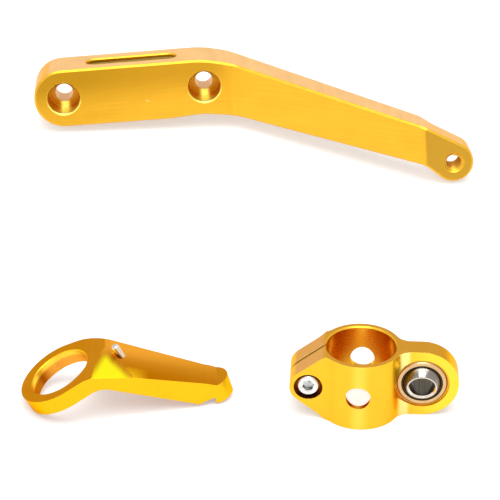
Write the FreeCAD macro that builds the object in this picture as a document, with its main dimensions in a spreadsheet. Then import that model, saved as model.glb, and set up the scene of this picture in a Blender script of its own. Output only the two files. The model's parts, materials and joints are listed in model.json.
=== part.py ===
import FreeCAD, Part
import math
import os
import re
import Sketcher

# Mounting kit of a linear motorcycle steering damper: a frame bracket, a stem bracket and a damper clamp.
# Millimetres and degrees, +Z up. The origin is the foot of the damper clamp's bore axis on the floor.

doc = FreeCAD.newDocument("steering_damper_kit")
sheet = doc.addObject("Spreadsheet::Sheet", "sizes")

# Driving dimensions, each with its alias
sizes = {
    # Frame bracket: front outline, measured from the first pad hole along the pad and up its face
    "frame_hole_pitch": 66.9,
    "frame_end_radius": 13.9,
    "frame_shoulder_height": 13.3,
    "frame_shoulder_round": 45,
    "frame_under_back": 17.55,
    "frame_under_drop": 14.6,
    "frame_arch_back": 1.55,
    "frame_arch_drop": 13.65,
    "frame_arch_round": 25,
    "frame_arm_reach": 83.5,
    "frame_wrist_top_drop": 9.1,
    "frame_wrist_low_drop": 27.9,
    "frame_wrist_round": 6,
    "frame_tip_reach": 12.8,
    "frame_tip_drop": 27.4,
    "frame_tip_radius": 9,
    # Frame bracket: plan, the arm turns toward the front
    "frame_pad_thick": 22,
    "frame_elbow_reach": 13.35,
    "frame_elbow_round": 14,
    "frame_back_elbow_shift": -0.8,
    "frame_back_wrist_shift": 4.6,
    "frame_tip_forward": 59.3,
    "frame_tip_thick": 13,
    # Frame bracket: holes, slot and edges
    "frame_bolt_radius": 4.25,
    "frame_head_radius": 7.5,
    "frame_head_depth": 10.4,
    "frame_slot_start": 11.95,
    "frame_slot_length": 42.65,
    "frame_slot_width": 8.7,
    "frame_slot_depth": 16,
    "frame_edge_chamfer": 0.9,
    "frame_hole_chamfer": 0.6,
    # Stem bracket: side outline, measured from the ring's top centre along and across the ring's plane
    "stem_bore_radius": 12.15,
    "stem_ring_radius": 16.7,
    "stem_ring_thick": 6.6,
    "stem_elbow_out": 15.46,
    "stem_elbow_round": 20,
    "stem_arm_fall": 42.6,
    "stem_under_elbow_out": 14.3,
    "stem_under_fall": 47.3,
    "stem_under_round": 9,
    "stem_facet_out": 13.65,
    "stem_facet_lean": 36.6,
    "stem_facet_turn": 5,
    "stem_heel_out": 41.7,
    "stem_land_out": 51.6,
    "stem_nose_out": 47.9,
    "stem_nose_lean": 12,
    "stem_nose_half": 6.75,
    "stem_nose_inset": 0.5,
    "stem_nose_radius": 6.9,
    "stem_nose_proud": 2.6,
    "stem_recess_back": 3.8,
    "stem_recess_radius": 7.9,
    "stem_recess_depth": 2.8,
    "stem_thread_depth": 6.3,
    "stem_edge_chamfer": 0.35,
    # Locating pin of the stem bracket
    "pin_radius": 1.5,
    "pin_out": 23.3,
    "pin_aside": 3,
    "pin_proud": 4.8,
    "pin_sunk": 5,
    "pin_seat_radius": 2.6,
    "pin_seat_depth": 0.9,
    "pin_chamfer": 0.35,
    # Threads, drawn at their nominal size
    "rod_thread_radius": 4,
    "clamp_thread_radius": 2.5,
    "thread_chamfer": 0.7,
    # Damper clamp
    "clamp_bore_radius": 13.25,
    "clamp_wall": 2.25,
    "clamp_height": 28.2,
    "clamp_slit": 1,
    "clamp_ear_width": 16.8,
    "clamp_ear_out": 19.85,
    "clamp_ear_radius": 7.15,
    "clamp_ear_shoulder": 13.5,
    "clamp_ear_blend": 9,
    "clamp_window_radius": 4.75,
    "clamp_window_turn": -3,
    "clamp_lug_thick": 8,
    "clamp_lug_blend": 6,
    "clamp_lug_flat": 3.75,
    "clamp_edge_chamfer": 0.5,
    # Clamp bolt
    "bolt_length": 12,
    "bolt_head_radius": 4.25,
    "bolt_head_height": 5,
    "bolt_socket_width": 4,
    "bolt_socket_depth": 2.5,
    "bolt_socket_turn": 15,
    "bolt_well_radius": 5.5,
    "bolt_well_depth": 5.6,
    "bolt_end_chamfer": 0.5,
    "bolt_clearance": 0.05,
    "bolt_hole_clearance": 0.25,
    # Spherical bearing
    "bearing_out": 23.6,
    "bearing_bore_radius": 4.8,
    "bearing_ball_radius": 8,
    "bearing_ball_width": 10.5,
    "bearing_ball_tilt": 12.4,
    "bearing_race_radius": 9.8,
    "bearing_race_width": 7.6,
    "bearing_mouth_chamfer": 0.5,
    "bearing_liner_thick": 0.3,
    "bearing_ball_clearance": 0.05,
    "bearing_race_chamfer": 0.6,
    "bearing_bore_chamfer": 0.5,
    "bearing_seat_chamfer": 0.65,
    # How the three brackets lie on the floor
    "frame_place_x": -130.6,
    "frame_place_y": 229.95,
    "frame_lean": 8.55,
    "frame_yaw": 3.12,
    "frame_rise": 3.77,
    "stem_place_x": -116.2,
    "stem_place_y": 3.8,
    "stem_tilt": 28,
    "stem_yaw": 4.3,
    "clamp_yaw": -3,
    # How far the blanks and cutters reach past the finished faces
    "stock": 30,
}

for row, (alias, size) in enumerate(sizes.items(), start=1):
    sheet.set(f"A{row}", alias)
    sheet.set(f"B{row}", str(size))
    sheet.setAlias(f"B{row}", alias)
doc.recompute()

# How closely a point has to sit on a line or face to be counted as on it
tolerance = 0.02


# A formula of aliases, as other objects read it
def bound(formula):
    return re.sub(r"\b([a-z]+(?:_[a-z]+)+|stock)\b", r"sizes.\1", formula)


# The present value of a formula of aliases
def value(formula):
    return float(sheet.evalExpression(formula))


def bind(thing, settings):
    for name, formula in settings.items():
        thing.setExpression(name, bound(formula))


def vector(x=0.0, y=0.0, z=0.0):
    return FreeCAD.Vector(x, y, z)


# Sketches


def originPlane(body, role):
    return next(plane for plane in body.Origin.OriginFeatures if plane.Role == role)


def newSketch(body, label, role, height=None):
    sketch = body.newObject("Sketcher::SketchObject", label)
    sketch.AttachmentSupport = [(originPlane(body, role), "")]
    sketch.MapMode = "FlatFace"
    if height:
        bind(sketch, {"AttachmentOffset.Base.z": height})
    return sketch


def fixPoint(sketch, geometry, end, xFormula, yFormula):
    for kind, formula in (("DistanceX", xFormula), ("DistanceY", yFormula)):
        index = sketch.addConstraint(Sketcher.Constraint(kind, geometry, end, value(formula)))
        sketch.setExpression(f"Constraints[{index}]", bound(formula))


def fixRadius(sketch, geometry, formula):
    index = sketch.addConstraint(Sketcher.Constraint("Radius", geometry, value(formula)))
    sketch.setExpression(f"Constraints[{index}]", bound(formula))


def addCircle(sketch, xFormula, yFormula, radiusFormula):
    centre = vector(value(xFormula), value(yFormula))
    circle = sketch.addGeometry(Part.Circle(centre, vector(0, 0, 1), value(radiusFormula)), False)
    fixPoint(sketch, circle, 3, xFormula, yFormula)
    fixRadius(sketch, circle, radiusFormula)


# The straight line that leaves one round and meets the next, both passed on their right side
def tangentLine(centreA, radiusA, centreB, radiusB):
    way = centreB - centreA
    turn = math.acos((radiusA - radiusB) / way.Length)
    angle = math.atan2(way.y, way.x) - turn
    side = vector(math.cos(angle), math.sin(angle))
    return centreA + side * radiusA, centreB + side * radiusB


# A closed outline, counterclockwise. Each stop is (x, y) for a sharp corner, (x, y, radius) for a rounded
# corner, or (x, y, radius, "about") for an arc about that centre, and "hollow" for one that curves inward.
def addOutline(sketch, stops):
    count = len(stops)
    points = [vector(value(stop[0]), value(stop[1])) for stop in stops]
    signs = {"about": 1, "hollow": -1}
    swung = [signs[stop[3]] * value(stop[2]) if len(stop) == 4 else 0.0 for stop in stops]
    starts = [None] * count
    ends = [None] * count
    for i in range(count):
        j = (i + 1) % count
        starts[i], ends[j] = tangentLine(points[i], swung[i], points[j], swung[j])
    ways = [(ends[(i + 1) % count] - starts[i]).normalize() for i in range(count)]
    arcs = {}
    for i, stop in enumerate(stops):
        if len(stop) == 2:
            continue
        radius = value(stop[2])
        centre = points[i]
        left = swung[i] > 0
        if len(stop) == 3:
            before, after = ways[i - 1], ways[i]
            left = before.cross(after).z > 0
            reach = radius * math.tan(before.getAngle(after) / 2)
            ends[i] = points[i] - before * reach
            starts[i] = points[i] + after * reach
            centre = ends[i] + vector(-before.y, before.x) * (radius if left else -radius)
        first, last = (ends[i], starts[i]) if left else (starts[i], ends[i])
        angles = [math.atan2(point.y - centre.y, point.x - centre.x) for point in (first, last)]
        circle = Part.Circle(centre, vector(0, 0, 1), radius)
        arc = sketch.addGeometry(Part.ArcOfCircle(circle, *angles), False)
        arcs[i] = (arc, 1, 2) if left else (arc, 2, 1)
    lines = []
    for i in range(count):
        lines.append(sketch.addGeometry(Part.LineSegment(starts[i], ends[(i + 1) % count]), False))
    for i, stop in enumerate(stops):
        before, after = lines[i - 1], lines[i]
        if len(stop) == 2:
            sketch.addConstraint(Sketcher.Constraint("Coincident", before, 2, after, 1))
            fixPoint(sketch, after, 1, stop[0], stop[1])
            continue
        arc, arrives, leaves = arcs[i]
        sketch.addConstraint(Sketcher.Constraint("Tangent", before, 2, arc, arrives))
        sketch.addConstraint(Sketcher.Constraint("Tangent", arc, leaves, after, 1))
        fixRadius(sketch, arc, stop[2])
        if len(stop) == 4:
            fixPoint(sketch, arc, 3, stop[0], stop[1])
        else:
            corner = sketch.addGeometry(Part.Point(points[i]), True)
            fixPoint(sketch, corner, 1, stop[0], stop[1])
            sketch.addConstraint(Sketcher.Constraint("PointOnObject", corner, 1, before))
            sketch.addConstraint(Sketcher.Constraint("PointOnObject", corner, 1, after))


# Features


def newBody(label):
    body = doc.addObject("PartDesign::Body", label)
    body.Label = label
    return body


# Adds or cuts a sketch's area and checks that the solid really gained or lost material
def sweepSketch(body, kind, sketch, label, side="Symmetric", length=None, reverse=False):
    before = body.Shape.Volume if body.Tip else 0.0
    feature = body.newObject(f"PartDesign::{kind}", label)
    feature.Profile = sketch
    feature.SideType = side
    feature.Reversed = reverse
    if length:
        bind(feature, {"Length": length})
    else:
        feature.Type = "ThroughAll"
    doc.recompute()
    gained = body.Shape.Volume - before
    if (kind == "Pad") != (gained > 0) or abs(gained) < tolerance:
        raise RuntimeError(f"{label} changed the volume by {gained:.3f}")
    return feature


def pocketRound(body, label, role, x, y, radius, side="Symmetric", length=None, reverse=False, height=None):
    sketch = newSketch(body, label + "_sketch", role, height)
    addCircle(sketch, x, y, radius)
    return sweepSketch(body, "Pocket", sketch, label, side, length, reverse)


# Names of the edges whose sampled points all pass a test
def edgesWhere(shape, test):
    names = []
    for number, edge in enumerate(shape.Edges, start=1):
        if all(test(point) for point in edge.discretize(7)):
            names.append(f"Edge{number}")
    if not names:
        raise RuntimeError("no edge passes the test")
    return names


def dressEdges(body, kind, label, size, test):
    base = body.Tip
    names = edgesWhere(base.Shape, test)
    feature = body.newObject(f"PartDesign::{kind}", label)
    feature.Base = (base, names)
    bind(feature, {"Size" if kind == "Chamfer" else "Radius": size})
    doc.recompute()
    if "Invalid" in feature.State:
        raise RuntimeError(f"{label} failed")
    return feature


# A conical cut that breaks the mouth of a round hole on the body's axis. The mouth faces along the sketch
# plane's normal, or against it when turned.
def breakMouth(body, label, role, mouth, radius, size, turned=False):
    cone = body.newObject("PartDesign::SubtractiveCone", label)
    cone.AttachmentSupport = [(originPlane(body, role), "")]
    cone.MapMode = "FlatFace"
    bind(cone, {
        "Radius1": radius if not turned else f"{radius} + 2 * {size}",
        "Radius2": radius if turned else f"{radius} + 2 * {size}",
        "Height": f"2 * {size}",
        "AttachmentOffset.Base.z": f"{mouth} - {size}",
    })
    doc.recompute()
    if "Invalid" in cone.State:
        raise RuntimeError(f"{label} failed")
    return cone


def near(a, b):
    return abs(a - b) < tolerance


# Corners of the frame bracket, each from the one before it
elbowOut = "(frame_hole_pitch + frame_elbow_reach)"
wristOut = f"({elbowOut} + frame_arm_reach)"
tipOut = f"({wristOut} + frame_tip_reach)"


# Frame bracket: milled from one bar, first its front outline and then its plan
def frameBracket():
    body = newBody("frame_bracket")

    front = newSketch(body, "frame_front_outline", "XZ_Plane")
    addOutline(front, [
        ("0", "0", "frame_end_radius", "about"),
        ("frame_hole_pitch - frame_under_back", "-frame_under_drop", "frame_arch_round"),
        ("frame_hole_pitch - frame_arch_back", "-frame_arch_drop", "frame_arch_round"),
        (wristOut, "-frame_wrist_low_drop", "frame_wrist_round"),
        (tipOut, "-frame_tip_drop", "frame_tip_radius", "about"),
        (wristOut, "-frame_wrist_top_drop", "2 * frame_wrist_round"),
        ("frame_hole_pitch", "frame_shoulder_height", "frame_shoulder_round"),
    ])
    sweepSketch(body, "Pad", front, "frame_bar", length="2 * (frame_tip_forward + frame_pad_thick + stock)")

    left = "-frame_end_radius - stock"
    right = f"{tipOut} + frame_tip_radius + stock"
    before = "-frame_tip_forward - 3 * stock"
    behind = "frame_pad_thick + frame_tip_forward + 3 * stock"
    frontCut = newSketch(body, "frame_front_cut_plan", "XY_Plane")
    addOutline(frontCut, [
        (left, before),
        (right, before),
        (right, "-frame_tip_forward"),
        (wristOut, "-frame_tip_forward", "frame_wrist_round"),
        (elbowOut, "0", "frame_elbow_round"),
        (left, "0"),
    ])
    sweepSketch(body, "Pocket", frontCut, "frame_front_cut")

    tipBack = "frame_tip_thick - frame_tip_forward"
    backCut = newSketch(body, "frame_back_cut_plan", "XY_Plane")
    addOutline(backCut, [
        (left, "frame_pad_thick"),
        (f"{elbowOut} + frame_back_elbow_shift", "frame_pad_thick", "frame_elbow_round"),
        (f"{wristOut} + frame_back_wrist_shift", tipBack, "frame_wrist_round"),
        (right, tipBack),
        (right, behind),
        (left, behind),
    ])
    sweepSketch(body, "Pocket", backCut, "frame_back_cut")

    # Chamfers along the front and back outlines, before the holes are drilled
    atFront = frameSurface(0.0, 0.0, 0.0, -value("frame_tip_forward"), "frame_elbow_round")
    dressEdges(body, "Chamfer", "frame_front_chamfer", "frame_edge_chamfer", atFront)
    atBack = frameSurface(
        value("frame_back_elbow_shift"), value("frame_back_wrist_shift"), value("frame_pad_thick"),
        value(tipBack), "frame_elbow_round")
    dressEdges(body, "Chamfer", "frame_back_chamfer", "frame_edge_chamfer / 2", atBack)

    # Lightening slot sunk into the pad's top edge
    slotRadius = "frame_slot_width / 2"
    slotY = "frame_pad_thick / 2"
    slot = newSketch(body, "frame_slot_plan", "XY_Plane", "frame_shoulder_height - frame_slot_depth")
    addOutline(slot, [
        (f"frame_slot_start + {slotRadius}", slotY, slotRadius, "about"),
        (f"frame_slot_start + frame_slot_length - {slotRadius}", slotY, slotRadius, "about"),
    ])
    sweepSketch(body, "Pocket", slot, "frame_slot", "One side", reverse=True)
    endX = [value(f"frame_slot_start + {slotRadius}"), value(f"frame_slot_start + frame_slot_length - {slotRadius}")]
    lipFloor = value("frame_shoulder_height - frame_slot_depth / 2")
    dressEdges(body, "Chamfer", "frame_slot_lip", "frame_hole_chamfer", lambda p: p.z > lipFloor and near(
        math.hypot(p.x - min(max(p.x, endX[0]), endX[1]), p.y - value(slotY)), value(slotRadius)))

    # Two counterbored bolt holes through the pad and the tapped hole at the tip
    for name, out in (("first", "0"), ("second", "frame_hole_pitch")):
        pocketRound(body, f"frame_{name}_hole", "XZ_Plane", out, "0", "frame_bolt_radius")
        pocketRound(body, f"frame_{name}_head_well", "XZ_Plane", out, "0", "frame_head_radius",
                    "One side", "frame_head_depth")
    pocketRound(body, "frame_tip_thread", "XZ_Plane", tipOut, "-frame_tip_drop", "rod_thread_radius")

    headRadius = value("frame_head_radius")
    pitch = value("frame_hole_pitch")

    def onHeadWell(p):
        return near(p.y, 0) and any(near(math.hypot(p.x - out, p.z), headRadius) for out in (0, pitch))

    dressEdges(body, "Chamfer", "frame_head_well_chamfer", "frame_hole_chamfer", onHeadWell)
    threadRadius = value("rod_thread_radius")
    tipX, tipZ = value(tipOut), -value("frame_tip_drop")
    dressEdges(body, "Chamfer", "frame_tip_thread_chamfer", "thread_chamfer", lambda p: near(
        math.hypot(p.x - tipX, p.z - tipZ), threadRadius))

    return body


# Test for points on the pad, arm and tip faces of one side of the frame bracket
def frameSurface(elbowShift, wristShift, padY, tipY, roundName):
    elbow = vector(value(elbowOut) + elbowShift, padY)
    wrist = vector(value(wristOut) + wristShift, tipY)
    slope = (wrist.y - elbow.y) / (wrist.x - elbow.x)
    slack = {}
    half = abs(math.atan(slope)) / 2
    for corner, radius in ((elbow, value(roundName)), (wrist, value("frame_wrist_round"))):
        gap = radius * (1 / math.cos(half) - 1)
        slack[corner.x] = (radius * math.tan(half) + tolerance, gap + tolerance)

    def onSurface(p):
        if p.x < elbow.x:
            y = elbow.y
        elif p.x > wrist.x:
            y = wrist.y
        else:
            y = elbow.y + (p.x - elbow.x) * slope
        for cornerX, (reach, gap) in slack.items():
            if abs(p.x - cornerX) < reach:
                return abs(p.y - y) < gap
        return near(p.y, y)

    return onSurface


# Puts a bracket's lowest point on the floor at its place in the layout
def standOnFloor(body, name, lean, rise, yaw):
    turn = FreeCAD.Rotation(vector(0, 0, 1), value(yaw))
    turn = turn * FreeCAD.Rotation(vector(1, 0, 0), -value(lean))
    turn = turn * FreeCAD.Rotation(vector(0, 1, 0), value(rise))
    placed = body.Shape.copy()
    placed.Placement = FreeCAD.Placement(vector(), turn)
    low = placed.optimalBoundingBox(False, False).ZMin
    spot = vector(value(f"{name}_place_x"), value(f"{name}_place_y"), -low)
    body.Placement = FreeCAD.Placement(spot, turn)


# A cylinder across the stem bracket's sloping underside, reaching below it by the given amount
def leaningRound(body, kind, label, radius, height, x, down, below):
    cylinder = body.newObject(f"PartDesign::{kind}", label)
    cylinder.AttachmentSupport = [(originPlane(body, "XY_Plane"), "")]
    cylinder.MapMode = "FlatFace"
    lean = FreeCAD.Rotation(vector(0, 1, 0), value("stem_nose_lean"))
    cylinder.AttachmentOffset = FreeCAD.Placement(vector(), lean)
    bind(cylinder, {
        "Radius": radius,
        "Height": height,
        "AttachmentOffset.Base.x": f"{x} - ({below}) * sin(stem_nose_lean)",
        "AttachmentOffset.Base.z": f"-{down} - ({below}) * cos(stem_nose_lean)",
        "AttachmentOffset.Rotation.Angle": "stem_nose_lean",
    })
    doc.recompute()
    if "Invalid" in cylinder.State:
        raise RuntimeError(f"{label} failed")


# Stem bracket: its own frame has the ring's top centre at the origin and the ring's axis along Z
def stemBracket():
    body = newBody("stem_bracket")

    # Plan: a link that tapers from the ring to the nose
    plan = newSketch(body, "stem_plan", "XY_Plane")
    addOutline(plan, [
        ("0", "0", "stem_ring_radius", "about"),
        ("stem_nose_out + stem_nose_inset", "-stem_nose_half"),
        ("stem_nose_out + stem_nose_inset", "stem_nose_half"),
    ])
    sweepSketch(body, "Pad", plan, "stem_blank", "One side", "2 * stem_heel_out", reverse=True)

    # Side outline, cut from above and from below
    heelDown = "stem_ring_thick + (stem_heel_out - stem_under_elbow_out) * tan(stem_under_fall)"
    left = "-stem_ring_radius - stock"
    right = "stem_nose_out + 2 * stock"
    top = "2 * stock"
    bottom = "-4 * stock"
    landDown = "(stem_land_out - stem_elbow_out) * tan(stem_arm_fall)"
    above = newSketch(body, "stem_top_side", "XZ_Plane")
    addOutline(above, [
        (left, "0"),
        ("stem_elbow_out", "0", "stem_elbow_round"),
        ("stem_land_out", f"-{landDown}"),
        (right, f"-{landDown} - ({right} - stem_land_out) * tan(stem_nose_lean)"),
        (right, top),
        (left, top),
    ])
    below = newSketch(body, "stem_under_side", "XZ_Plane")
    addOutline(below, [
        (left, bottom),
        (right, bottom),
        (right, f"-({heelDown}) - ({right} - stem_heel_out) * tan(stem_nose_lean)"),
        ("stem_heel_out", f"-({heelDown})"),
        ("stem_under_elbow_out", "-stem_ring_thick", "stem_under_round"),
        (left, "-stem_ring_thick"),
    ])
    sweepSketch(body, "Pocket", below, "stem_under_cut")

    # The nose is a round boss that stands proud of the underside, its axis leaning outward from the ring's
    noseDown = f"({heelDown} + (stem_nose_out - stem_heel_out) * tan(stem_nose_lean))"
    leaningRound(body, "AdditiveCylinder", "stem_nose", "stem_nose_radius", "2 * stock",
                 "stem_nose_out", noseDown, "stem_nose_proud")
    sweepSketch(body, "Pocket", above, "stem_top_cut")

    # Facet over the near half of the bend; all that stands above its leaning plane goes
    facet = body.newObject("PartDesign::SubtractiveCylinder", "stem_bend_facet")
    facet.AttachmentSupport = [(originPlane(body, "XY_Plane"), "")]
    facet.MapMode = "FlatFace"
    turn = math.radians(value("stem_facet_turn"))
    lean = FreeCAD.Rotation(vector(math.sin(turn), math.cos(turn), 0), value("stem_facet_lean"))
    facet.AttachmentOffset = FreeCAD.Placement(vector(), lean)
    bind(facet, {
        "Radius": "2 * stem_ring_radius",
        "Height": "2 * stock",
        "AttachmentOffset.Base.x": "stem_facet_out",
        "AttachmentOffset.Rotation.Axis.x": "sin(stem_facet_turn)",
        "AttachmentOffset.Rotation.Axis.y": "cos(stem_facet_turn)",
        "AttachmentOffset.Rotation.Angle": "stem_facet_lean",
    })
    doc.recompute()

    # Ring bore, and the spot face and hole of the locating pin
    pocketRound(body, "stem_bore", "XY_Plane", "0", "0", "stem_bore_radius")
    seat = "-(pin_out - stem_elbow_out) * tan(stem_arm_fall) - pin_seat_depth"
    pocketRound(body, "stem_pin_seat", "XY_Plane", "pin_out", "pin_aside", "pin_seat_radius",
                "One side", reverse=True, height=seat)
    pocketRound(body, "stem_pin_hole", "XY_Plane", "pin_out", "pin_aside", "pin_radius",
                "One side", "pin_sunk", height=seat)

    # Recess and blind thread under the nose
    recessX = "(stem_nose_out - stem_recess_back)"
    recessDown = f"({heelDown} + ({recessX} - stem_heel_out) * tan(stem_nose_lean))"
    recessSunk = "stem_recess_depth - stem_nose_proud"
    for label, radius, sunk in (
            ("stem_recess", "stem_recess_radius", recessSunk),
            ("stem_thread", "rod_thread_radius", f"{recessSunk} + stem_thread_depth")):
        leaningRound(body, "SubtractiveCylinder", label, radius, f"{sunk} + stock",
                     recessX, recessDown, "stock")

    # Broken edges of the ring's bore
    bore = value("stem_bore_radius")
    dressEdges(body, "Chamfer", "stem_bore_chamfer", "stem_edge_chamfer", lambda p: near(
        math.hypot(p.x, p.y), bore))
    return body, seat


# Locating pin, pressed into the stem bracket
def locatingPin(seat):
    body = newBody("locating_pin")
    sketch = newSketch(body, "pin_section", "XY_Plane", f"{seat} - pin_sunk")
    addCircle(sketch, "pin_out", "pin_aside", "pin_radius")
    sweepSketch(body, "Pad", sketch, "pin_rod", "One side", "pin_sunk + pin_seat_depth + pin_proud")
    ends = [vertex.Z for vertex in body.Shape.Vertexes]
    dressEdges(body, "Chamfer", "pin_end_chamfer", "pin_chamfer", lambda p: near(p.z, min(ends)) or near(
        p.z, max(ends)))
    return body


# Damper clamp body: a split tube with a clamping ear on its left and a bearing lug on its right
def clampBody():
    body = newBody("clamp_body")
    outer = "(clamp_bore_radius + clamp_wall)"
    middle = "clamp_height / 2"

    tube = newSketch(body, "clamp_tube_plan", "XY_Plane")
    addCircle(tube, "0", "0", outer)
    sweepSketch(body, "Pad", tube, "clamp_tube", "One side", "clamp_height")

    # Blocks for the lug and the ear, with hollow corners where they leave the tube
    for name, nearX, farX, half, blend, side in (
            ("lug", "0", f"bearing_out + {middle}", "clamp_lug_thick / 2", "clamp_lug_blend", 1),
            ("ear", "-clamp_ear_out - clamp_ear_radius", "0", "clamp_ear_width / 2", "clamp_ear_blend", -1)):
        block = newSketch(body, f"clamp_{name}_plan", "XY_Plane")
        addOutline(block, [(nearX, f"-{half}"), (farX, f"-{half}"), (farX, half), (nearX, half)])
        sweepSketch(body, "Pad", block, f"clamp_{name}", "One side", "clamp_height")
        cornerY = value(half)
        cornerX = side * math.sqrt(value(outer) ** 2 - cornerY ** 2)
        dressEdges(body, "Fillet", f"clamp_{name}_corner", blend, lambda p, x=cornerX, y=cornerY: near(
            p.x, x) and near(abs(p.y), y))

    # Front outline: the lug's round end and the ear's sloping shoulders, milled through
    lugEnd = newSketch(body, "clamp_lug_side", "XZ_Plane")
    far = f"bearing_out + {middle} + stock"
    addOutline(lugEnd, [
        ("bearing_out - clamp_lug_flat", "-stock"),
        (far, "-stock"),
        (far, "clamp_height + stock"),
        ("bearing_out - clamp_lug_flat", "clamp_height + stock"),
        ("bearing_out - clamp_lug_flat", "clamp_height"),
        ("bearing_out", middle, middle, "hollow"),
        ("bearing_out - clamp_lug_flat", "0"),
    ])
    sweepSketch(body, "Pocket", lugEnd, "clamp_lug_end")
    earEnd = newSketch(body, "clamp_ear_side", "XZ_Plane")
    far = "-clamp_ear_out - clamp_ear_radius - stock"
    addOutline(earEnd, [
        (far, "-stock"),
        ("-clamp_ear_shoulder", "-stock"),
        ("-clamp_ear_shoulder", "0"),
        ("-clamp_ear_out", middle, "clamp_ear_radius", "hollow"),
        ("-clamp_ear_shoulder", "clamp_height"),
        ("-clamp_ear_shoulder", "clamp_height + stock"),
        (far, "clamp_height + stock"),
    ])
    sweepSketch(body, "Pocket", earEnd, "clamp_ear_end")

    pocketRound(body, "clamp_bore", "XY_Plane", "0", "0", "clamp_bore_radius")
    for label, mouth, turned in (
            ("clamp_bore_lip_top", "clamp_height", False),
            ("clamp_bore_lip_foot", "0", True)):
        breakMouth(body, label, "XY_Plane", mouth, "clamp_bore_radius", "clamp_edge_chamfer", turned)

    # Slit that lets the ear close on the damper
    slit = newSketch(body, "clamp_slit_plan", "XY_Plane")
    addOutline(slit, [
        ("-clamp_ear_out - stock", "-clamp_slit / 2"),
        ("-clamp_bore_radius / 2", "-clamp_slit / 2"),
        ("-clamp_bore_radius / 2", "clamp_slit / 2"),
        ("-clamp_ear_out - stock", "clamp_slit / 2"),
    ])
    sweepSketch(body, "Pocket", slit, "clamp_slit_cut")

    # Window through the front and back walls, turned a little about the bore's axis
    window = newSketch(body, "clamp_window_side", "XZ_Plane")
    turn = FreeCAD.Rotation(vector(0, 1, 0), value("clamp_window_turn"))
    window.AttachmentOffset = FreeCAD.Placement(vector(), turn)
    bind(window, {"AttachmentOffset.Rotation.Angle": "clamp_window_turn"})
    addCircle(window, "0", middle, "clamp_window_radius")
    sweepSketch(body, "Pocket", window, "clamp_window")

    # Bolt hole through the ear: head well, clearance hole, then thread behind the slit
    pocketRound(body, "clamp_bolt_thread", "XZ_Plane", "-clamp_ear_out", middle,
                "clamp_thread_radius + bolt_clearance")
    pocketRound(body, "clamp_bolt_clearance", "XZ_Plane", "-clamp_ear_out", middle,
                "clamp_thread_radius + bolt_hole_clearance", "One side", "stock", reverse=True)
    pocketRound(body, "clamp_bolt_well", "XZ_Plane", "-clamp_ear_out", middle, "bolt_well_radius",
                "One side", "stock", reverse=True, height="clamp_ear_width / 2 - bolt_well_depth")

    # Bearing seat through the lug, with a spot face that bites into the hollow corners
    pocketRound(body, "clamp_bearing_seat", "XZ_Plane", "bearing_out", middle, "bearing_race_radius")
    for label, turned in (("clamp_spot_face_front", False), ("clamp_spot_face_back", True)):
        face = "clamp_lug_thick / 2 - bearing_seat_chamfer"
        pocketRound(body, label, "XZ_Plane", "bearing_out", middle,
                    "bearing_race_radius + bearing_seat_chamfer", "One side", "stock",
                    reverse=not turned, height=f"-({face})" if turned else face)
    return body


# Clamp bolt: socket cap screw that closes the ear
def clampBolt():
    body = newBody("clamp_bolt")
    middle = "clamp_height / 2"
    underHead = "clamp_ear_width / 2 - bolt_well_depth"
    shank = newSketch(body, "bolt_shank_section", "XZ_Plane", underHead)
    addCircle(shank, "-clamp_ear_out", middle, "clamp_thread_radius")
    sweepSketch(body, "Pad", shank, "bolt_shank", "One side", "bolt_length", reverse=True)
    head = newSketch(body, "bolt_head_section", "XZ_Plane", underHead)
    addCircle(head, "-clamp_ear_out", middle, "bolt_head_radius")
    sweepSketch(body, "Pad", head, "bolt_head", "One side", "bolt_head_height")
    socket = newSketch(body, "bolt_socket_section", "XZ_Plane", f"{underHead} + bolt_head_height")
    corner = "(bolt_socket_width / 2 / cos(30))"
    addOutline(socket, [
        (f"-clamp_ear_out + {corner} * cos(bolt_socket_turn + {side} * 60)",
         f"{middle} + {corner} * sin(bolt_socket_turn + {side} * 60)")
        for side in range(6)])
    sweepSketch(body, "Pocket", socket, "bolt_socket", "One side", "bolt_socket_depth")
    headFace = -value(underHead) - value("bolt_head_height")
    tail = -value(underHead) + value("bolt_length")
    headRadius, shankRadius = value("bolt_head_radius"), value("clamp_thread_radius")
    x, z = -value("clamp_ear_out"), value(middle)
    dressEdges(body, "Chamfer", "bolt_end_chamfer", "bolt_end_chamfer", lambda p: any(
        near(math.hypot(p.x - x, p.z - z), radius) and near(p.y, y)
        for radius, y in ((headRadius, headFace), (shankRadius, tail))))
    return body


# Adds or cuts a ball, a cylinder or the like, centred on the body's Z axis
def turnShape(body, kind, label, settings):
    feature = body.newObject(f"PartDesign::{kind}", label)
    feature.AttachmentSupport = [(originPlane(body, "XY_Plane"), "")]
    feature.MapMode = "FlatFace"
    bind(feature, settings)
    doc.recompute()
    return feature


# Spherical bearing, drawn about its own axis: a steel race, the liner in it and the ball
def bearingRace():
    body = newBody("bearing_race")
    half = "bearing_race_width / 2"
    turnShape(body, "AdditiveCylinder", "race_blank", {
        "Radius": "bearing_race_radius",
        "Height": "bearing_race_width",
        "AttachmentOffset.Base.z": f"-{half}"})
    radius = value("bearing_race_radius")
    dressEdges(body, "Chamfer", "race_rim", "bearing_race_chamfer", lambda p: near(
        math.hypot(p.x, p.y), radius) and near(abs(p.z), value(half)))
    hollow = "(bearing_ball_radius + bearing_ball_clearance + bearing_liner_thick)"
    turnShape(body, "SubtractiveSphere", "race_hollow", {"Radius": hollow})
    mouth = math.sqrt(value(hollow) ** 2 - value(half) ** 2)
    dressEdges(body, "Chamfer", "race_mouth", "bearing_mouth_chamfer", lambda p: near(
        math.hypot(p.x, p.y), mouth) and near(abs(p.z), value(half)))
    return body


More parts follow.
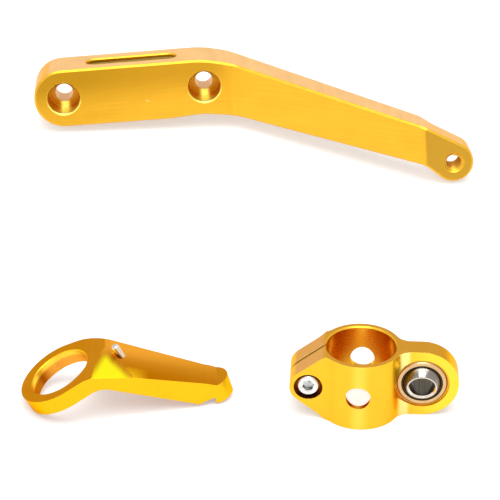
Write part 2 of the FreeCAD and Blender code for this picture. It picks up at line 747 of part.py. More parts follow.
def bearingLiner():
    body = newBody("bearing_liner")
    outside = "(bearing_ball_radius + bearing_ball_clearance + bearing_liner_thick)"
    half = "(bearing_race_width / 2 - bearing_mouth_chamfer)"
    turnShape(body, "AdditiveSphere", "liner_blank", {
        "Radius": outside,
        "Angle1": f"-asin({half} / {outside})",
        "Angle2": f"asin({half} / {outside})"})
    turnShape(body, "SubtractiveSphere", "liner_hollow", {
        "Radius": "bearing_ball_radius + bearing_ball_clearance"})
    return body


def bearingBall():
    body = newBody("bearing_ball")
    half = "bearing_ball_width / 2"
    turnShape(body, "AdditiveSphere", "ball_blank", {
        "Radius": "bearing_ball_radius",
        "Angle1": f"-asin({half} / bearing_ball_radius)",
        "Angle2": f"asin({half} / bearing_ball_radius)"})
    turnShape(body, "SubtractiveCylinder", "ball_bore", {
        "Radius": "bearing_bore_radius",
        "Height": "bearing_ball_width",
        "AttachmentOffset.Base.z": f"-{half}"})
    radius = value("bearing_bore_radius")
    dressEdges(body, "Chamfer", "ball_bore_lip", "bearing_bore_chamfer", lambda p: near(
        math.hypot(p.x, p.y), radius) and near(abs(p.z), value(half)))
    return body


# The clamp and its pieces share one yaw, the bearing sits across the lug and its ball leans toward the floor
def layClamp(pieces, bearing):
    yaw = FreeCAD.Placement(vector(), FreeCAD.Rotation(vector(0, 0, 1), value("clamp_yaw")))
    across = FreeCAD.Placement(
        vector(value("bearing_out"), 0, value("clamp_height / 2")), FreeCAD.Rotation(vector(1, 0, 0), 90))
    for piece in pieces:
        piece.Placement = yaw
    for piece in bearing:
        piece.Placement = yaw * across
    lean = FreeCAD.Rotation(vector(1, 0, 0), value("bearing_ball_tilt"))
    bearing[-1].Placement = yaw * across * FreeCAD.Placement(vector(), lean)


def build():
    frame = frameBracket()
    standOnFloor(frame, "frame", "frame_lean", "-frame_rise", "frame_yaw")
    stem, pinSeat = stemBracket()
    standOnFloor(stem, "stem", "0", "-stem_tilt", "stem_yaw")
    pin = locatingPin(pinSeat)
    pin.Placement = stem.Placement
    clamp = [clampBody(), clampBolt()]
    bearing = [bearingRace(), bearingLiner(), bearingBall()]
    layClamp(clamp, bearing)
    return [frame, stem, pin] + clamp + bearing


# Every object has to be sound before anything is written
def checkAll(pieces):
    doc.recompute()
    for thing in doc.Objects:
        if "Invalid" in thing.State or "Error" in thing.State:
            raise RuntimeError(f"{thing.Label} is {thing.State}")
    for piece in pieces:
        shape = piece.Shape
        if shape.isNull() or not shape.isValid() or len(shape.Solids) != 1:
            raise RuntimeError(f"{piece.Label} is not one valid solid")


pieces = build()
checkAll(pieces)
os.makedirs("parts", exist_ok=True)
for piece in pieces:
    piece.Shape.exportStep(f"parts/{piece.Label}.step")
    box = piece.Shape.optimalBoundingBox(False, False)
    print(f"{piece.Label}: {piece.Shape.Volume:.1f} mm3, x {box.XMin:.2f} to {box.XMax:.2f}, "
          f"y {box.YMin:.2f} to {box.YMax:.2f}, z {box.ZMin:.3f} to {box.ZMax:.2f}")
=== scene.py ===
import json
import math

import bmesh
import bpy
from mathutils import Matrix, Vector


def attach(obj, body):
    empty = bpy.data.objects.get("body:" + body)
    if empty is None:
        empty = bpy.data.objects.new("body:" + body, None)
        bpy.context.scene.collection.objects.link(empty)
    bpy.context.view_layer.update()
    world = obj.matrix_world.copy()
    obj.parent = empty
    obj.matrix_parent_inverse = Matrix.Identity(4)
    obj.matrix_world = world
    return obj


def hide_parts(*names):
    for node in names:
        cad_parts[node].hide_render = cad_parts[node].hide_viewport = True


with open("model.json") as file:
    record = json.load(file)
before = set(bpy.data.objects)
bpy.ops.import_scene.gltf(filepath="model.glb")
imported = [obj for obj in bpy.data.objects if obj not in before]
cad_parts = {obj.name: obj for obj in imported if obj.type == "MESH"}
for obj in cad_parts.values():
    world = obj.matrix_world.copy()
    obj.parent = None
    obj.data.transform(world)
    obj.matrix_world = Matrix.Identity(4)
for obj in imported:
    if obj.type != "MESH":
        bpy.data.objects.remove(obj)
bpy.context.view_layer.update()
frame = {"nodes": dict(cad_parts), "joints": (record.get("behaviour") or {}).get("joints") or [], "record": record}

# Looks of a linear steering damper's mounting kit: frame bracket, stem bracket and damper clamp.
# Lengths are in metres, turns in degrees, and tones as a picture shows them, from 0 to 255.
mm = 0.001
mounts = {mount["name"]: mount for mount in frame["record"]["mounts"]}
joints = {joint["name"]: joint for joint in frame["joints"]}
print("frame loaded:", len(frame["nodes"]), "nodes")

# Where each bracket lies on the floor: its own origin, then its turns about Z, X and Y
lying = {
    "frame": {"origin": (-130.6 * mm, 229.95 * mm, 17.506 * mm), "yaw": 3.12, "lean": -8.55, "rise": -3.77},
    "stem": {"origin": (-116.2 * mm, 3.8 * mm, 13.668 * mm), "yaw": 4.3, "lean": 0, "rise": -28},
    "clamp": {"origin": (0, 0, 14.1 * mm), "yaw": -3, "lean": 0, "rise": 0},
}


def placeOf(bracket):
    spot = lying[bracket]
    place = Matrix.Translation(spot["origin"])
    for angle, axis in ((spot["yaw"], "Z"), (spot["lean"], "X"), (spot["rise"], "Y")):
        place = place @ Matrix.Rotation(math.radians(angle), 4, axis)
    return place


def frontOf(bracket):  # where the bracket's front face points
    return tuple(placeOf(bracket).to_3x3() @ Vector((0, -1, 0)))


# Node trees

def screenColour(tone):  # a tone made linear for the shader
    shares = [channel / 255 for channel in tone]
    linear = [((share + 0.055) / 1.055) ** 2.4 if share > 0.04 else share / 12.92 for share in shares]
    return (*linear, 1)


def plugIn(tree, socket, source):  # a link from another node, or a plain value
    if isinstance(source, bpy.types.NodeSocket):
        tree.links.new(source, socket)
    else:
        socket.default_value = source


def addNode(tree, kind, inputs=None, **settings):
    node = tree.nodes.new(kind)
    for name, setting in settings.items():
        setattr(node, name, setting)
    for name, source in (inputs or {}).items():
        plugIn(tree, node.inputs[name], source)
    return node


def newGroup(name, inputs, outputs):
    group = bpy.data.node_groups.new(name, "ShaderNodeTree")
    for title, kind in inputs.items():
        group.interface.new_socket(title, in_out="INPUT", socket_type="NodeSocket" + kind)
    for title, kind in outputs.items():
        group.interface.new_socket(title, in_out="OUTPUT", socket_type="NodeSocket" + kind)
    return group, group.nodes.new("NodeGroupInput").outputs, group.nodes.new("NodeGroupOutput").inputs


def useGroup(tree, group, inputs):
    node = tree.nodes.new("ShaderNodeGroup")
    node.node_tree = group
    for name, source in inputs.items():
        plugIn(tree, node.inputs[name], source)
    return node


def maths(tree, operation, first, second=0.0, third=0.0, clamp=False):
    node = addNode(tree, "ShaderNodeMath", operation=operation, use_clamp=clamp)
    for socket, source in zip(node.inputs, (first, second, third)):
        plugIn(tree, socket, source)
    return node.outputs[0]


def together(tree, *shares):
    product = shares[0]
    for share in shares[1:]:
        product = maths(tree, "MULTIPLY", product, share)
    return product


def vectorMaths(tree, operation, first, second=None):
    node = addNode(tree, "ShaderNodeVectorMath", operation=operation)
    plugIn(tree, node.inputs[0], first)
    if second is not None:
        plugIn(tree, node.inputs[1], second)
    return node.outputs["Value" if operation in ("LENGTH", "DOT_PRODUCT") else "Vector"]


# The place as seen from a centre that is moved, turned and scaled
def turnedPlace(tree, place, location=(0, 0, 0), rotation=(0, 0, 0), scale=(1, 1, 1)):
    return addNode(tree, "ShaderNodeMapping", {
        "Vector": place, "Location": location, "Rotation": rotation, "Scale": scale},
        vector_type="TEXTURE").outputs[0]


def blendColour(tree, share, first, second):
    node = addNode(tree, "ShaderNodeMix", data_type="RGBA")
    for socket, source in ((node.inputs[0], share), (node.inputs[6], first), (node.inputs[7], second)):
        plugIn(tree, socket, source)
    return node.outputs[2]


def paint(tree, share, colour, tone):  # a tone laid over the colour, fully where the share is 1
    return blendColour(tree, share, colour, screenColour(tone))


def ramp(tree, source, span):  # rises smoothly from 0 at the span's first value to 1 at its second
    node = addNode(tree, "ShaderNodeMapRange", {"Value": source, "From Min": span[0], "From Max": span[1]},
                   interpolation_type="SMOOTHSTEP")
    return node.outputs["Result"]


def makeCutterLines():  # fine marks that a milling cutter leaves, level in X and Y, close together in Z
    group, given, result = newGroup(
        "cutterLines", {"Place": "Vector", "Pitch": "Float", "Run": "Float"}, {"Lines": "Float"})
    across = maths(group, "DIVIDE", 1.0, given["Pitch"])
    along = maths(group, "DIVIDE", 1.0, given["Run"])
    stretch = addNode(group, "ShaderNodeCombineXYZ", {"X": along, "Y": along, "Z": across})
    grain = addNode(group, "ShaderNodeTexNoise", {
        "Vector": vectorMaths(group, "MULTIPLY", given["Place"], stretch.outputs[0]), "Scale": 1.0,
        "Detail": 3.0, "Roughness": 0.6})
    group.links.new(grain.outputs["Fac"], result["Lines"])
    return group


def makeEdgeRim():  # where two faces meet: a rounded normal compared with the plain one
    turned = (0.995, 0.86)  # how the two normals agree where the rim starts, and where it is full
    group, given, result = newGroup("edgeRim", {"Width": "Float"}, {"Rim": "Float", "Soft": "Vector"})
    soft = addNode(group, "ShaderNodeBevel", {"Radius": given["Width"]}, samples=6).outputs[0]
    flat = addNode(group, "ShaderNodeNewGeometry").outputs["Normal"]
    group.links.new(ramp(group, vectorMaths(group, "DOT_PRODUCT", soft, flat), turned), result["Rim"])
    group.links.new(soft, result["Soft"])
    return group


def makeFacing():  # how far a face points in a direction
    group, given, result = newGroup(
        "facing", {"Direction": "Vector", "Low": "Float", "High": "Float"}, {"Share": "Float"})
    flat = addNode(group, "ShaderNodeNewGeometry").outputs["Normal"]
    turn = vectorMaths(group, "DOT_PRODUCT", flat, given["Direction"])
    group.links.new(ramp(group, turn, (given["Low"], given["High"])), result["Share"])
    return group


def makeMottle():  # slow drift of tone over a surface, -1 to 1
    group, given, result = newGroup("mottle", {"Place": "Vector", "Size": "Float"}, {"Drift": "Float"})
    scale = maths(group, "DIVIDE", 1.0, given["Size"])
    cloud = addNode(group, "ShaderNodeTexNoise", {"Vector": given["Place"], "Scale": scale, "Detail": 2.0})
    group.links.new(maths(group, "MULTIPLY_ADD", cloud.outputs["Fac"], 2.0, -1.0), result["Drift"])
    return group


cutterLines, edgeRim, facing, mottle = makeCutterLines(), makeEdgeRim(), makeFacing(), makeMottle()
upward = (0, 0, 1)
frontward = (0, -1, 0)


def faces(tree, direction, span):  # 1 where the surface faces that way, 0 where it turns away
    return useGroup(tree, facing, {"Direction": direction, "Low": span[0], "High": span[1]}).outputs[0]


# Dyed anodising over milled aluminium, with painted light on upward faces and a painted highlight along edges
anodising = {
    "drift_size": 9 * mm, "drift_tone": 0.07, "drift_gloss": 0.04, "pore_scale": 2600.0, "pore_height": 0.25,
    "rim_highlight": 0.7, "coat_roughness": 0.22, "coat_ior": 1.6}


def makeDyeWithPaintedLight():
    group, given, result = newGroup("dyeWithPaintedLight", {
        "Place": "Vector", "Side Dye": "Color", "Top Painted Light": "Color", "Rim Painted Highlight": "Color", "Pitch": "Float",
        "Run": "Float", "Line Tone": "Float", "Gloss": "Float", "Top Low": "Float", "Top High": "Float",
        "Edge": "Float", "Uneven": "Float"},
        {"Colour": "Color", "Roughness": "Float", "Height": "Float", "Soft": "Vector"})
    lines = useGroup(group, cutterLines, {
        "Place": given["Place"], "Pitch": given["Pitch"], "Run": given["Run"]}).outputs[0]
    rim = useGroup(group, edgeRim, {"Width": given["Edge"]})
    drift = useGroup(group, mottle, {"Place": given["Place"], "Size": anodising["drift_size"]}).outputs[0]
    pores = addNode(group, "ShaderNodeTexNoise", {
        "Vector": given["Place"], "Scale": anodising["pore_scale"], "Detail": 1.0}).outputs["Fac"]
    swing = maths(group, "SUBTRACT", lines, 0.5)

    # painted light: upward faces take another tone, paler or darker than the side dye
    top = faces(group, upward, (given["Top Low"], given["Top High"]))
    dyeAndTopLight = blendColour(group, top, given["Side Dye"], given["Top Painted Light"])
    lined = maths(group, "MULTIPLY", swing, given["Line Tone"])
    slow = maths(group, "MULTIPLY", drift, anodising["drift_tone"])
    value = maths(group, "ADD", maths(group, "ADD", lined, slow), 1.0)
    shaded = addNode(group, "ShaderNodeHueSaturation", {"Color": dyeAndTopLight, "Value": value}).outputs[0]
    # painted highlight along the edges
    rimHighlight = maths(group, "MULTIPLY", rim.outputs["Rim"], anodising["rim_highlight"])
    group.links.new(blendColour(group, rimHighlight, shaded, given["Rim Painted Highlight"]), result["Colour"])

    uneven = maths(group, "MULTIPLY", swing, given["Uneven"])
    dulled = maths(group, "MULTIPLY_ADD", drift, anodising["drift_gloss"], uneven)
    group.links.new(maths(group, "ADD", given["Gloss"], dulled), result["Roughness"])
    group.links.new(maths(group, "MULTIPLY_ADD", pores, anodising["pore_height"], lines), result["Height"])
    group.links.new(rim.outputs["Soft"], result["Soft"])
    return group


dyeWithPaintedLight = makeDyeWithPaintedLight()


def newMaterial(name):
    material = bpy.data.materials.new(name)
    material.use_nodes = True
    tree = material.node_tree
    tree.nodes.clear()
    shader = addNode(tree, "ShaderNodeBsdfPrincipled")
    output = addNode(tree, "ShaderNodeOutputMaterial")
    tree.links.new(shader.outputs[0], output.inputs["Surface"])
    return material, tree, shader


def localPlace(tree, bracket):  # object coordinates turned into a bracket's own directions
    coords = addNode(tree, "ShaderNodeTexCoord")
    place = placeOf(bracket)
    return turnedPlace(tree, coords.outputs["Object"], location=place.to_translation(),
                       rotation=place.to_euler())


def makeGold(finish):
    material, tree, shader = newMaterial(finish["name"])
    place = localPlace(tree, finish["lie"])
    skin = useGroup(tree, dyeWithPaintedLight, {
        "Place": place, "Side Dye": screenColour(finish["side"]), "Top Painted Light": screenColour(finish["top"]),
        "Rim Painted Highlight": screenColour(finish["rim"]), "Pitch": finish["pitch"], "Run": finish["run"],
        "Line Tone": finish["line_tone"], "Gloss": finish["gloss"], "Top Low": finish["top_span"][0],
        "Top High": finish["top_span"][1], "Edge": finish["edge"], "Uneven": finish["uneven"]})
    colour = skin.outputs["Colour"]
    height = skin.outputs["Height"]
    for change in finish["changes"]:
        colour, height = change(tree, place, colour, height)
    bump = addNode(tree, "ShaderNodeBump", {
        "Height": height, "Distance": finish["bump"], "Normal": skin.outputs["Soft"]})
    path = addNode(tree, "ShaderNodeLightPath")  # the floor's shadows take their tint from another tone
    colour = paint(tree, path.outputs["Is Diffuse Ray"], colour, finish["floor_sees"])
    tree.links.new(colour, shader.inputs["Base Color"])
    tree.links.new(skin.outputs["Roughness"], shader.inputs["Roughness"])
    tree.links.new(bump.outputs[0], shader.inputs["Normal"])
    shader.inputs["Metallic"].default_value = 1.0
    shader.inputs["Specular Tint"].default_value = screenColour(finish["edge_tint"])
    shader.inputs["Coat Weight"].default_value = finish["coat"]
    shader.inputs["Coat Roughness"].default_value = anodising["coat_roughness"]
    shader.inputs["Coat IOR"].default_value = anodising["coat_ior"]
    return material


# Masks in a bracket's own directions

def axisValue(tree, place, axis):
    return addNode(tree, "ShaderNodeSeparateXYZ", {"Vector": place}).outputs[axis]


def fade(tree, place, axis, span):  # a ramp along one of the bracket's own axes
    return ramp(tree, axisValue(tree, place, axis), span)


fromHole = (1, 0, 1)  # distance from a line that runs front to back
fromBore = (1, 1, 0)  # distance from an upright line
fromMiddle = (1, 0, 0)  # distance to the left or right


def awayFrom(tree, place, centre, keep=fromHole):
    moved = vectorMaths(tree, "SUBTRACT", place, centre)
    return vectorMaths(tree, "LENGTH", vectorMaths(tree, "MULTIPLY", moved, keep))


# Frame bracket, from its left screw hole
holePitch = (Vector(mounts["pad_hole_2"]["pos_m"]) - Vector(mounts["pad_hole_1"]["pos_m"])).length
frameMarks = {
    "pad": {"up": (-8 * mm, 9 * mm), "up_share": 0.7, "left": (60 * mm, -14 * mm), "left_share": 0.4,
            "end": (92 * mm, 66 * mm), "facing": (0.6, 0.95), "tone": (190, 139, 22)},
    "bands": {"scale": 66.0, "waver": 0.5, "phase": 0.6, "start": (73 * mm, 77 * mm),
              "end": (88 * mm, 84 * mm), "facing": (0.8, 0.95), "share": 0.55, "tone": (228, 172, 36)},
    "tip": {"start": (163 * mm, 165 * mm), "facing": (0.93, 0.98), "tone": (196, 148, 42)},
    "nick": {"centre": (39.5 * mm, 0, -4.6 * mm), "turn": 22, "size": (1.7 * mm, 8 * mm, 0.35 * mm),
             "edge": (1.0, 0.5), "share": 0.7, "tone": (255, 226, 120)},
    "seats": {"wall": (7.53 * mm, 7.47 * mm), "dark": (-1 * mm, 5 * mm), "low_tone": (208, 140, 26),
              "high_tone": (138, 88, 16), "beam": (3.0 * mm, 0.9 * mm), "beam_rise": (-3.4 * mm, -5.2 * mm),
              "beam_tone": (255, 250, 150), "hole": (4.3 * mm, 4.26 * mm), "hole_tone": (214, 172, 134),
              "lip_inside": (7.48 * mm, 7.56 * mm), "lip_outside": (8.35 * mm, 8.1 * mm),
              "lip_rise": (0, -3.5 * mm), "lip_tone": (255, 244, 110)},
    "slot": {"centre": (33.3 * mm, 11 * mm), "sides": (4.45 * mm, 4.38 * mm), "ends": (21.4 * mm, 21.3 * mm),
             "low": (-6 * mm, -5 * mm), "high": (11.9 * mm, 11.5 * mm), "tone": (255, 240, 186)},
}


def padPaintedShade(tree, place, colour, height):  # painted shade: the pad's face is darker toward its top and its left end
    pad = frameMarks["pad"]
    up = maths(tree, "MULTIPLY", fade(tree, place, "Z", pad["up"]), pad["up_share"])
    left = fade(tree, place, "X", pad["left"])
    deeper = maths(tree, "MULTIPLY_ADD", left, pad["left_share"], up, clamp=True)
    share = together(tree, deeper, faces(tree, frontOf("frame"), pad["facing"]),
                     fade(tree, place, "X", pad["end"]))
    return paint(tree, share, colour, pad["tone"]), height


def bendPaintedShadeBands(tree, place, colour, height):  # upright bands of painted shade across the bend, where the face turns
    bands = frameMarks["bands"]
    waves = addNode(tree, "ShaderNodeTexWave", {
        "Vector": place, "Scale": bands["scale"], "Distortion": bands["waver"],
        "Phase Offset": bands["phase"]}, bands_direction="X")
    share = together(tree, waves.outputs["Fac"], fade(tree, place, "X", bands["start"]),
                     fade(tree, place, "X", bands["end"]), faces(tree, frontOf("frame"), bands["facing"]),
                     bands["share"])
    return paint(tree, share, colour, bands["tone"]), height


def tipPaintedShade(tree, place, colour, height):  # painted shade: the tip's flat face, turned like the pad's, is darker
    tip = frameMarks["tip"]
    share = together(tree, fade(tree, place, "X", tip["start"]), faces(tree, frontOf("frame"), tip["facing"]))
    return paint(tree, share, colour, tip["tone"]), height


def nick(tree, place, colour, height):  # one small scratch on the pad's face
    scratch = frameMarks["nick"]
    centred = turnedPlace(tree, place, location=scratch["centre"], scale=scratch["size"],
                          rotation=(0, math.radians(scratch["turn"]), 0))
    share = ramp(tree, vectorMaths(tree, "LENGTH", centred), scratch["edge"])
    worn = maths(tree, "MULTIPLY", share, scratch["share"])
    return paint(tree, worn, colour, scratch["tone"]), maths(tree, "SUBTRACT", height, share)


def counterborePaintedLight(tree, place, colour, height):  # painted shade in the two screw seats, a painted highlight along their lowest line and round their mouths, and painted light in the through holes
    seat = frameMarks["seats"]
    dark = fade(tree, place, "Z", seat["dark"])
    wall = blendColour(tree, dark, screenColour(seat["low_tone"]), screenColour(seat["high_tone"]))
    for along in (0, holePitch):
        centre = (along, 0, 0)
        away = awayFrom(tree, place, centre)
        beam = together(tree, fade(tree, place, "Z", seat["beam_rise"]),
                        ramp(tree, awayFrom(tree, place, centre, fromMiddle), seat["beam"]))
        inner = paint(tree, beam, wall, seat["beam_tone"])
        inner = paint(tree, ramp(tree, away, seat["hole"]), inner, seat["hole_tone"])
        colour = blendColour(tree, ramp(tree, away, seat["wall"]), colour, inner)
        lip = together(tree, ramp(tree, away, seat["lip_inside"]), ramp(tree, away, seat["lip_outside"]),
                       fade(tree, place, "Z", seat["lip_rise"]))
        colour = paint(tree, lip, colour, seat["lip_tone"])
    return colour, height


def slotPaintedLight(tree, place, colour, height):  # painted light: the walls of the pad's slot are painted pale
    slot = frameMarks["slot"]
    along, deep = slot["centre"]
    aside = maths(tree, "ABSOLUTE", maths(tree, "SUBTRACT", axisValue(tree, place, "Y"), deep))
    inside = together(tree, ramp(tree, aside, slot["sides"]),
                      ramp(tree, awayFrom(tree, place, (along, 0, 0), fromMiddle), slot["ends"]),
                      fade(tree, place, "Z", slot["low"]), fade(tree, place, "Z", slot["high"]))
    return paint(tree, inside, colour, slot["tone"]), height


# Stem bracket, from the middle of its ring
stemMarks = {
    "arm": {"towards": (0.25, 0.02, 0.967), "facing": (0.9955, 0.9985), "ring_side": (66 * mm, 24 * mm),
            "least": 0.4, "more": 0.5, "across": (-9 * mm, 9 * mm), "front_tone": (186, 108, 6),
            "back_tone": (228, 158, 50)},
    "glow": {"along": (32 * mm, 24 * mm), "across": (-3.5 * mm, -12 * mm), "tone": (255, 214, 36)},
    "back": {"across": (0, 9 * mm), "share": 0.75, "tone": (250, 172, 58)},
    "facet": {"towards": (0.151, -0.041, 0.9877), "facing": (0.9962, 0.9988), "tip": (18.8 * mm, 3.5 * mm),
              "left_slope": -0.335, "left": (-1.2 * mm, 2 * mm), "right_slope": 0.5,
              "right": (1 * mm, -3.2 * mm), "tone": (255, 244, 34)},
    "cusps": {"turn": 49, "scale": 226.0, "waver": 0.3, "start": (23.6 * mm, 25.4 * mm),
              "end": (32 * mm, 27.5 * mm), "across": (-3.6 * mm, -5.4 * mm), "facing": (0.8, 0.95),
              "height": 0.9, "share": 0.5, "tone": (255, 196, 40)},
    "ring": {"wall": (12.25 * mm, 12.19 * mm), "low": (-1.7 * mm, -3.0 * mm), "left": (-4 * mm, -10 * mm),
             "edge_tone": (255, 220, 70), "right_tone": (240, 164, 56), "left_tone": (190, 112, 22)},
}


def armPaintedLight(tree, place, colour, height):  # painted shade on the arm's top, darker toward the front, and a painted highlight beside the facet
    arm, glow = stemMarks["arm"], stemMarks["glow"]
    above = faces(tree, arm["towards"], arm["facing"])
    across = fade(tree, place, "Y", arm["across"])
    tone = blendColour(tree, across, screenColour(arm["front_tone"]), screenColour(arm["back_tone"]))
    more = maths(tree, "MULTIPLY_ADD", fade(tree, place, "X", arm["ring_side"]), arm["more"], arm["least"])
    colour = blendColour(tree, together(tree, above, more), colour, tone)
    lit = together(tree, above, fade(tree, place, "X", glow["along"]), fade(tree, place, "Y", glow["across"]))
    return paint(tree, lit, colour, glow["tone"]), height


def backEdgePaintedHighlight(tree, place, colour, height):  # painted highlight: the bend is paler along its back edge
    arm, facet, back = stemMarks["arm"], stemMarks["facet"], stemMarks["back"]
    bend = maths(tree, "MAXIMUM", faces(tree, facet["towards"], facet["facing"]),
                 faces(tree, arm["towards"], arm["facing"]))
    share = together(tree, bend, fade(tree, place, "Y", back["across"]),
                     fade(tree, place, "X", arm["ring_side"]), back["share"])
    return paint(tree, share, colour, back["tone"]), height


def facetPaintedHighlight(tree, place, colour, height):  # painted highlight on the facet milled over the bend, from its tip to its broad end
    facet = stemMarks["facet"]
    tipX, tipY = facet["tip"]
    down = maths(tree, "SUBTRACT", axisValue(tree, place, "Y"), tipY)
    aside = maths(tree, "SUBTRACT", axisValue(tree, place, "X"), tipX)
    left = ramp(tree, maths(tree, "MULTIPLY_ADD", down, facet["left_slope"], aside), facet["left"])
    right = ramp(tree, maths(tree, "MULTIPLY_ADD", down, facet["right_slope"], aside), facet["right"])
    share = together(tree, faces(tree, facet["towards"], facet["facing"]), left, right)
    return paint(tree, share, colour, facet["tone"]), height


def cuspsWithPaintedHighlight(tree, place, colour, height):  # cusps that a ball cutter left beside the facet, with a painted highlight along them
    cusps = stemMarks["cusps"]
    turned = turnedPlace(tree, place, rotation=(0, 0, math.radians(cusps["turn"])))
    waves = addNode(tree, "ShaderNodeTexWave", {
        "Vector": turned, "Scale": cusps["scale"], "Distortion": cusps["waver"]}, bands_direction="X")
    field = together(tree, fade(tree, place, "X", cusps["start"]), fade(tree, place, "X", cusps["end"]),
                     fade(tree, place, "Y", cusps["across"]), faces(tree, upward, cusps["facing"]))
    raised = together(tree, waves.outputs["Fac"], field, cusps["height"])
    cuspHighlight = maths(tree, "MULTIPLY", raised, cusps["share"])
    return paint(tree, cuspHighlight, colour, cusps["tone"]), maths(tree, "ADD", height, raised)


def stemRingPaintedLight(tree, place, colour, height):  # painted light on the ring's inner wall: a painted highlight along its upper edge, painted shade below
    ring = stemMarks["ring"]
    left = fade(tree, place, "X", ring["left"])
    deep = blendColour(tree, left, screenColour(ring["right_tone"]), screenColour(ring["left_tone"]))
    wall = blendColour(tree, fade(tree, place, "Z", ring["low"]), screenColour(ring["edge_tone"]), deep)
    inside = ramp(tree, awayFrom(tree, place, (0, 0, 0), fromBore), ring["wall"])
    return blendColour(tree, inside, colour, wall), height


def inClamp(point):  # a point of the frame in the clamp's own directions
    return tuple(placeOf("clamp").inverted() @ Vector(point))


# Damper clamp, from the middle of its bore
bearingCentre = inClamp(joints["ball_tilt"]["pos_m"])
boltCentre = inClamp(joints["bolt_turn"]["pos_m"])
clampMarks = {
    "band": {"centre": (-0.4 * mm, 0, 0), "reach": (4.6 * mm, 0), "facing": (0.9, 0.95), "share": 0.75,
             "tone": (236, 212, 78)},
    "lug": {"start": (12 * mm, 30 * mm), "facing": (0.985, 0.998), "share": 0.9, "tone": (244, 216, 62)},
    "corner": {"centre": (16.8 * mm, 0, 0), "reach": (2.6 * mm, 1.0 * mm), "facing": (0.2, 0.5), "share": 0.8,
               "tone": (255, 238, 150)},
    "ear": {"start": (-13 * mm, -15.5 * mm), "facing": (0.5, 0.8), "share": 0.85, "tone": (228, 176, 112)},
    "bore": {"wall": (13.36 * mm, 13.30 * mm), "centre": (0.5 * mm, 0, 0), "middle": (10 * mm, 1 * mm),
             "side_tone": (222, 142, 22), "middle_tone": (252, 196, 66), "smoother": -0.85},
    "well": {"wall": (5.54 * mm, 5.48 * mm), "tone": (164, 102, 32)},
    "seat": {"outside": (10.5 * mm, 10.44 * mm), "inside": (9.5 * mm, 9.6 * mm), "share": 0.55,
             "tone": (196, 112, 12)},
    "boss": {"towards": (-0.72, -0.1, -0.68), "facing": (0.45, 0.85), "reach": (16 * mm, 13 * mm),
             "share": 0.8, "tone": (205, 116, 8)},
}


def frontPaintedHighlight(tree, place, colour, height):  # painted highlight: a paler upright band down the middle of the tube's front
    band = clampMarks["band"]
    share = together(tree, faces(tree, frontward, band["facing"]),
                     ramp(tree, awayFrom(tree, place, band["centre"], fromMiddle), band["reach"]),
                     band["share"])
    return paint(tree, share, colour, band["tone"]), height


def lugPaintedLight(tree, place, colour, height):  # painted light: the lug's front face is a greener, brighter yellow
    lug = clampMarks["lug"]
    share = together(tree, faces(tree, frontOf("clamp"), lug["facing"]), fade(tree, place, "X", lug["start"]),
                     lug["share"])
    return paint(tree, share, colour, lug["tone"]), height


def cornerPaintedHighlight(tree, place, colour, height):  # painted highlight in the hollow where the tube runs into the lug
    corner = clampMarks["corner"]
    share = together(tree, faces(tree, frontward, corner["facing"]),
                     ramp(tree, awayFrom(tree, place, corner["centre"], fromMiddle), corner["reach"]),
                     corner["share"])
    return paint(tree, share, colour, corner["tone"]), height


def earPaintedLight(tree, place, colour, height):  # painted light: the ear's upper faces are paler
    ear = clampMarks["ear"]
    share = together(tree, faces(tree, upward, ear["facing"]), fade(tree, place, "X", ear["start"]),
                     ear["share"])
    return paint(tree, share, colour, ear["tone"]), height


def borePaintedShadeAndLight(tree, place, colour, height):  # the clamp's bore: painted shade at both sides, painted light in the middle
    bore = clampMarks["bore"]
    inside = ramp(tree, awayFrom(tree, place, (0, 0, 0), fromBore), bore["wall"])
    middle = ramp(tree, awayFrom(tree, place, bore["centre"], fromMiddle), bore["middle"])
    wall = blendColour(tree, middle, screenColour(bore["side_tone"]), screenColour(bore["middle_tone"]))
    smooth = maths(tree, "MULTIPLY", height, maths(tree, "MULTIPLY_ADD", inside, bore["smoother"], 1.0))
    return blendColour(tree, inside, colour, wall), smooth


def wellPaintedShade(tree, place, colour, height):  # painted shade in the well round the screw's head
    well = clampMarks["well"]
    inside = ramp(tree, awayFrom(tree, place, boltCentre), well["wall"])
    return paint(tree, inside, colour, well["tone"]), height


def seatPaintedShade(tree, place, colour, height):  # painted shade on the seat round the race, and on the underside of its boss
    seat, boss = clampMarks["seat"], clampMarks["boss"]
    away = awayFrom(tree, place, bearingCentre)
    ring = together(tree, ramp(tree, away, seat["outside"]), ramp(tree, away, seat["inside"]), seat["share"])
    colour = paint(tree, ring, colour, seat["tone"])
    under = together(tree, faces(tree, boss["towards"], boss["facing"]), ramp(tree, away, boss["reach"]),
                     boss["share"])
    return paint(tree, under, colour, boss["tone"]), height


